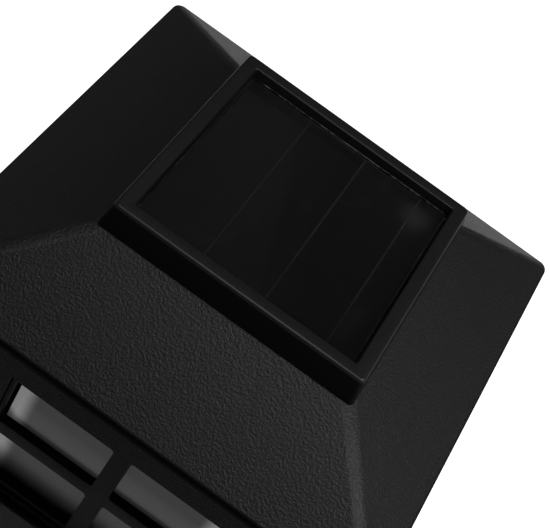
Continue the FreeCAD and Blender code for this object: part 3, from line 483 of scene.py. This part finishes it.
def buildRoof():
    low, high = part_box("roof_shell")
    side = high.x - low.x
    eave = low.z + roof["lip"]
    bm = blockMesh(low, (high.x, high.y, eave))
    slopes = bmesh.ops.extrude_face_region(bm, geom=facesAt(bm, 2, eave))
    upper = extruded(slopes, bmesh.types.BMVert)
    bmesh.ops.scale(bm, vec=(roof["topSide"] / side, roof["topSide"] / side, 1.0), verts=upper)
    bmesh.ops.translate(bm, vec=(0.0, 0.0, high.z - eave), verts=upper)
    bmesh.ops.delete(bm, geom=facesAt(bm, 2, low.z) + facesAt(bm, 2, eave), context="FACES")
    roundEdges(bm, edgesWhere(bm, isRising), *roof["hipRound"])
    eaves = edgesWhere(bm, lambda a, b: max(abs(a.z - eave), abs(b.z - eave)) < roof["eaveSpare"])
    roundEdges(bm, eaves, *roof["eaveRound"])
    top = facesAt(bm, 2, high.z)
    rim = top[0].edges[:]
    bmesh.ops.delete(bm, geom=top, context="FACES_ONLY")
    reach = roof["wellSide"] / 2.0
    corners = [bm.verts.new((x * reach, y * reach, high.z))
               for x, y in ((-1, -1), (1, -1), (1, 1), (-1, 1))]
    well = [bm.edges.new(pair) for pair in zip(corners, corners[1:] + corners[:1])]
    bmesh.ops.bridge_loops(bm, edges=rim + well)
    bmesh.ops.recalc_face_normals(bm, faces=bm.faces)
    bmesh.ops.solidify(bm, geom=bm.faces, thickness=roof["wall"])
    addPiece("roof_cover", bm, roofPlastic, "roof", "roof_plastic", "roof_shell",
             sharp=roof["sharp"])


buildRoof()
print("roof built")


bezel = {"topSide": 79.8 * mm, "rim": 4.2 * mm, "seat": 3.0 * mm, "seatLevel": 130.9 * mm,
         "cornerRound": (1.6 * mm, 8), "edgeRound": (0.8 * mm, 5), "innerRound": (0.60 * mm, 3),
         "recessRound": (0.6 * mm, 4)}


def buildBezel():
    low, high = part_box("panel_bezel")
    bm = blockMesh(low, high)
    lean = bezel["topSide"] / (high.x - low.x)
    bmesh.ops.scale(bm, vec=(lean, lean, 1.0), verts=facesAt(bm, 2, high.z)[0].verts)
    top = facesAt(bm, 2, high.z)
    insetFaces(bm, top, bezel["rim"])
    seat = sinkFace(bm, top, bezel["seatLevel"])
    insetFaces(bm, seat, bezel["seat"])
    sinkFace(bm, seat, low.z)
    edge = bezel["topSide"] / 2.0 - bezel["rim"] / 2.0

    def reach(a, b):
        return min(max(abs(end.x), abs(end.y)) for end in (a, b))

    def onRim(a, b):
        return abs(a.z - high.z) < touching and abs(b.z - high.z) < touching

    roundEdges(bm, edgesWhere(bm, lambda a, b: isRising(a, b) and reach(a, b) > edge),
               *bezel["cornerRound"])
    roundEdges(bm, edgesWhere(bm, lambda a, b: isRising(a, b) and max(a.z, b.z) > high.z - touching
                              and reach(a, b) < edge), *bezel["recessRound"])
    roundEdges(bm, creased(edgesWhere(bm, lambda a, b: onRim(a, b) and reach(a, b) > edge)),
               *bezel["edgeRound"])
    roundEdges(bm, creased(edgesWhere(bm, lambda a, b: onRim(a, b) and reach(a, b) < edge)),
               *bezel["innerRound"])
    bmesh.ops.delete(bm, geom=facesAt(bm, 2, low.z), context="FACES")
    addPiece("panel_frame", bm, bezelPlastic, "roof", "bezel_plastic", "panel_bezel")


buildBezel()
print("panel frame built")


cover = {"edgeRound": (0.10 * mm, 3), "gap": 0.08 * mm}


def buildCover():
    low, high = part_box("panel_glass")
    gap = Vector((cover["gap"], cover["gap"], 0.0))
    bm = blockMesh(low + gap, high - gap)
    roundEdges(bm, bm.edges[:], *cover["edgeRound"])
    addPiece("panel_cover", bm, coverClear(), "roof", "panel_cover", "panel_glass")


buildCover()


glue = {"wide": 0.28 * mm, "tall": 0.30 * mm, "sunk": 0.05 * mm, "reach": 34.6 * mm,
        "round": (0.126 * mm, 3), "cutEvery": 2.0 * mm, "cuts": 16, "dashes": 2.0 * mm,
        "dashEdge": (0.50, 0.60), "dark": (0.004, 0.004, 0.004), "pale": (0.12, 0.12, 0.118),
        "lumps": 0.6 * mm, "lumpDepth": 0.1 * mm}


def glueFinish():
    # glue that squeezed out in dashes: pale in some places and dark between
    finish = Finish("glueClear", (0.5, 0.5, 0.5), 0.25, Specular_IOR_Level=0.5)
    dashes = finish.smooth(finish.noise(glue["dashes"], detail=2.0, roughness=0.7),
                           *glue["dashEdge"])
    finish.set("Base Color", finish.blend(dashes, glue["dark"], glue["pale"]))
    finish.bump(finish.noise(glue["lumps"], detail=2.0), glue["lumpDepth"])
    return finish.material


def buildGlue():
    # a bead along the cover's back edge
    low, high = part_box("panel_glass")
    bm = blockMesh((-glue["reach"], high.y - glue["wide"], high.z - glue["sunk"]),
                   (glue["reach"], high.y, high.z + glue["tall"]))
    tops = [edge for edge in bm.edges if all(vert.co.z > high.z for vert in edge.verts)]
    roundEdges(bm, tops, *glue["round"])
    cutAcross(bm, 0, *(place * glue["cutEvery"] for place in range(-glue["cuts"], glue["cuts"] + 1)))
    addPiece("cover_glue", bm, glueFinish(), "roof", "seal_rubber")


buildGlue()
print("solar panel built")


body = {"wall": 2.5 * mm, "cornerRound": (2.5 * mm, 8),
        "window": (75.2 * mm, 32.0 * mm, 84.4 * mm)}    # width, sill and head


def buildBody():
    low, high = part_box("body_shell")
    width, sill, head = body["window"]
    bm = blockMesh(low, high)
    bmesh.ops.delete(bm, geom=facesAt(bm, 2, low.z) + facesAt(bm, 2, high.z), context="FACES")
    roundEdges(bm, edgesWhere(bm, isRising), *body["cornerRound"])
    for axis in (0, 1):
        cutAcross(bm, axis, -width / 2.0, width / 2.0)
    cutAcross(bm, 2, sill, head)

    def inWindow(face):
        centre = face.calc_center_median()
        across = min(abs(centre.x), abs(centre.y))
        return across < width / 2.0 and sill < centre.z < head

    bmesh.ops.delete(bm, geom=[face for face in bm.faces if inWindow(face)], context="FACES")
    bmesh.ops.recalc_face_normals(bm, faces=bm.faces)
    bmesh.ops.solidify(bm, geom=bm.faces, thickness=body["wall"])
    addPiece("lantern_walls", bm, bodyPlastic, "lantern", "body_plastic", "body_shell")


buildBody()
print("lantern body built")


grille = {"depth": 3.0 * mm, "frame": 2.0 * mm, "frameSide": 1.3 * mm, "upright": 5.9 * mm,
          "cross": 5.5 * mm, "flange": 1.9 * mm, "flangeThick": 1.5 * mm, "overlap": 0.5 * mm,
          "edgeSpare": 0.1 * mm, "cornerRound": (1.1 * mm, 4), "edgeRound": (0.7 * mm, 4)}


def buildGrille(side, turn):
    # made as the front one, then turned about the middle of the lantern
    low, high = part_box("front_grille")
    front, back = low.y, low.y + grille["depth"]
    left, right = low.x + grille["flange"], high.x - grille["flange"]
    bottom, top = low.z + grille["flange"], high.z - grille["flange"]
    middle = (bottom + top) / 2.0
    bm = blockMesh((left, front, bottom), (right, back, top))
    columns = ((left + grille["frameSide"], -grille["upright"] / 2.0),
               (grille["upright"] / 2.0, right - grille["frameSide"]))
    rows = ((bottom + grille["frame"], middle - grille["cross"] / 2.0),
            (middle + grille["cross"] / 2.0, top - grille["frame"]))
    openHoles(bm, front, back, [column + row for column in columns for row in rows])

    def crossesPlate(a, b):
        spare = grille["edgeSpare"]
        inside = abs(a.x) < right - spare and bottom + spare < a.z < top - spare
        return abs(a.y - b.y) > touching and inside

    def onFront(a, b):
        return abs(a.y - front) + abs(b.y - front) < touching

    roundEdges(bm, edgesWhere(bm, crossesPlate), *grille["cornerRound"])
    fronts = [edge for edge in edgesWhere(bm, onFront)
              if len({round(face.normal.y, 2) for face in edge.link_faces}) == 2]
    roundEdges(bm, fronts, *grille["edgeRound"])
    ring = blockMesh((low.x, back - grille["flangeThick"], low.z), (high.x, back, high.z))
    reach = grille["flange"] + grille["overlap"]
    openHoles(ring, back - grille["flangeThick"], back,
              [(low.x + reach, high.x - reach, low.z + reach, high.z - reach)])
    flange = bpy.data.meshes.new("flangeRing")
    ring.to_mesh(flange)
    ring.free()
    bm.from_mesh(flange)
    bpy.data.meshes.remove(flange)
    turnAbout(bm, turn)
    addPiece(side + "_window_grille", bm, grillePlastic, "lantern", "grille_plastic",
             side + "_grille")


pane = {"thick": 2.0 * mm, "bendStart": 31.4 * mm, "bendRadius": 5.0 * mm, "bendAngle": 40.0,
        "bendSteps": 10}


def buildPane(side, turn):
    # one sheet behind the four lights, its two ends bent back into the lantern
    low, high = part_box("front_pane")
    middle = low.y + pane["thick"] / 2.0
    bm = bmesh.new()
    foot = bm.verts.new((-pane["bendStart"], middle, low.z))
    head = bm.verts.new((-pane["bendStart"], middle, high.z))
    leftEnd = bm.edges.new((foot, head))
    sheet = bmesh.ops.extrude_edge_only(bm, edges=[leftEnd])
    bmesh.ops.translate(bm, vec=(2.0 * pane["bendStart"], 0.0, 0.0),
                        verts=extruded(sheet, bmesh.types.BMVert))
    rightEnd = extruded(sheet, bmesh.types.BMEdge)
    rightEnd = [edge for edge in rightEnd if all(vert.co.x > 0.0 for vert in edge.verts)]
    for end, hand in ((rightEnd, 1.0), ([leftEnd], -1.0)):
        geometry = end + [vert for edge in end for vert in edge.verts]
        bmesh.ops.spin(bm, geom=geometry, axis=(0.0, 0.0, 1.0), steps=pane["bendSteps"],
                       cent=(hand * pane["bendStart"], middle + pane["bendRadius"], 0.0),
                       angle=math.radians(hand * pane["bendAngle"]))
    bmesh.ops.remove_doubles(bm, verts=bm.verts, dist=merging)
    bmesh.ops.recalc_face_normals(bm, faces=bm.faces)
    turnAbout(bm, turn)
    piece = addPiece(side + "_window_pane", bm, panePlastic, "lantern", "pane_milky",
                     side + "_pane")
    shell = piece.modifiers.new("thickness", "SOLIDIFY")
    shell.thickness = pane["thick"]
    shell.offset = 0.0


sideTurns = {"front": 0.0, "right": 90.0, "back": 180.0, "left": 270.0}
panePlastic = paneSmokeAndPaintedLight()
for side, turn in sideTurns.items():
    buildGrille(side, turn)
    buildPane(side, turn)
print("windows built")


cone = {"flange": 5.0 * mm, "wall": 1.6 * mm, "skin": 1.44 * mm, "tip": 3.0 * mm,
        "round": (0.8 * mm, 4), "steps": 72}


def buildReflector():
    # a white cone on the chamber floor
    low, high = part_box("cone_reflector")
    foot = high.x - cone["flange"]
    outline = ((high.x, low.z), (high.x, low.z + cone["wall"]), (foot, low.z + cone["wall"]),
               (cone["tip"], high.z), (0.0, high.z))
    bm = bmesh.new()
    points = [bm.verts.new((radius, 0.0, level)) for radius, level in outline]
    for pair in zip(points, points[1:]):
        bm.edges.new(pair)
    radius, steps = cone["round"]
    bmesh.ops.bevel(bm, geom=points[1:4], offset=radius, offset_type="OFFSET", affect="VERTICES",
                    segments=steps, profile=0.5, material=-1)
    bmesh.ops.spin(bm, geom=bm.verts[:] + bm.edges[:], axis=(0.0, 0.0, 1.0), cent=(0.0, 0.0, 0.0),
                   steps=cone["steps"], angle=math.tau, use_merge=True)
    bmesh.ops.remove_doubles(bm, verts=bm.verts, dist=merging)
    bmesh.ops.recalc_face_normals(bm, faces=bm.faces)
    bmesh.ops.solidify(bm, geom=bm.faces, thickness=cone["skin"])
    addPiece("light_cone", bm, reflectorWhite, "lantern", "reflector_white", "cone_reflector")


buildReflector()
print("reflector built")


# the floor glows behind and beside the light, which makes the photograph's white background
studio = {"floorSide": 6.0, "floorCuts": 4, "floorGrey": 0.80, "floorPaler": 0.02,
          "floorDrift": 0.4, "glow": 1.0, "glowSide": (0.20, 0.30), "glowFront": (-0.15, -0.05),
          "glowBack": (0.42, 0.54)}
sky = {"grey": 0.027, "paler": 0.100, "above": (0.35, 0.55), "slant": 0.17, "most": 0.7,
       "edge": (-0.080, -0.050), "edgeLoss": 0.45, "fade": (-0.034, 0.060), "fadeLoss": 0.25}
lamps = [
    # name, place, aimed at, size, power
    ("overhead", (0.0, -0.10, 1.20), (0.0, 0.0, 0.1), 0.14, 1.8),
    ("rightBox", (0.39, -0.03, 0.57), (0.0, 0.0, 0.1), 0.18, 1.3),
]


def makeFloor():
    bm = bmesh.new()
    bmesh.ops.create_grid(bm, x_segments=studio["floorCuts"], y_segments=studio["floorCuts"],
                          size=studio["floorSide"] / 2.0)
    mesh = bpy.data.meshes.new("studio_floor")
    bm.to_mesh(mesh)
    bm.free()
    grey = (studio["floorGrey"],) * 3
    paler = (studio["floorGrey"] + studio["floorPaler"],) * 3
    finish = Finish("floorPaint", grey, 0.85, Specular_IOR_Level=0.1)
    drift = finish.noise(studio["floorDrift"], detail=2.0)
    finish.set("Base Color", finish.blend(drift, grey, paler))
    aside = 1.0 - finish.smooth(finish.sizeOf(finish.axis("X")), *studio["glowSide"])
    ahead = finish.smooth(finish.axis("Y"), *studio["glowFront"])
    behind = 1.0 - finish.smooth(finish.axis("Y"), *studio["glowBack"])
    finish.set("Emission Color", finish.blend(aside * ahead * behind, (0.0, 0.0, 0.0),
                                              (1.0, 1.0, 1.0)))
    finish.set("Emission Strength", studio["glow"])
    mesh.materials.append(finish.material)
    floor = bpy.data.objects.new("studio_floor", mesh)
    bpy.context.scene.collection.objects.link(floor)


def makeLamps():
    for name, place, aim, size, power in lamps:
        data = bpy.data.lights.new(name, "AREA")
        data.shape = "SQUARE"
        data.size = size
        data.energy = power
        lamp = bpy.data.objects.new(name, data)
        lamp.location = place
        lamp.rotation_euler = (Vector(place) - Vector(aim)).to_track_quat("Z", "Y").to_euler()
        bpy.context.scene.collection.objects.link(lamp)


def makeWorld():
    # dim air, a little paler high up on the left
    world = bpy.data.worlds.new("studioAir")
    world.use_nodes = True
    air = Wiring(world.node_tree, "Background", "Generated")
    aside = air.axis("X") + (air.axis("Y") - air.axis("Z")) * sky["slant"]
    left = (sky["most"] - air.smooth(aside, *sky["edge"]) * sky["edgeLoss"]
            - air.smooth(aside, *sky["fade"]) * sky["fadeLoss"])
    grey, paler = ((tone, tone, tone) for tone in (sky["grey"], sky["paler"]))
    air.set("Color", air.blend(left * air.smooth(air.axis("Z"), *sky["above"]), grey, paler))
    bpy.context.scene.world = world
    bpy.context.scene.view_settings.view_transform = "Standard"


makeFloor()
makeLamps()
makeWorld()
print("studio lit")
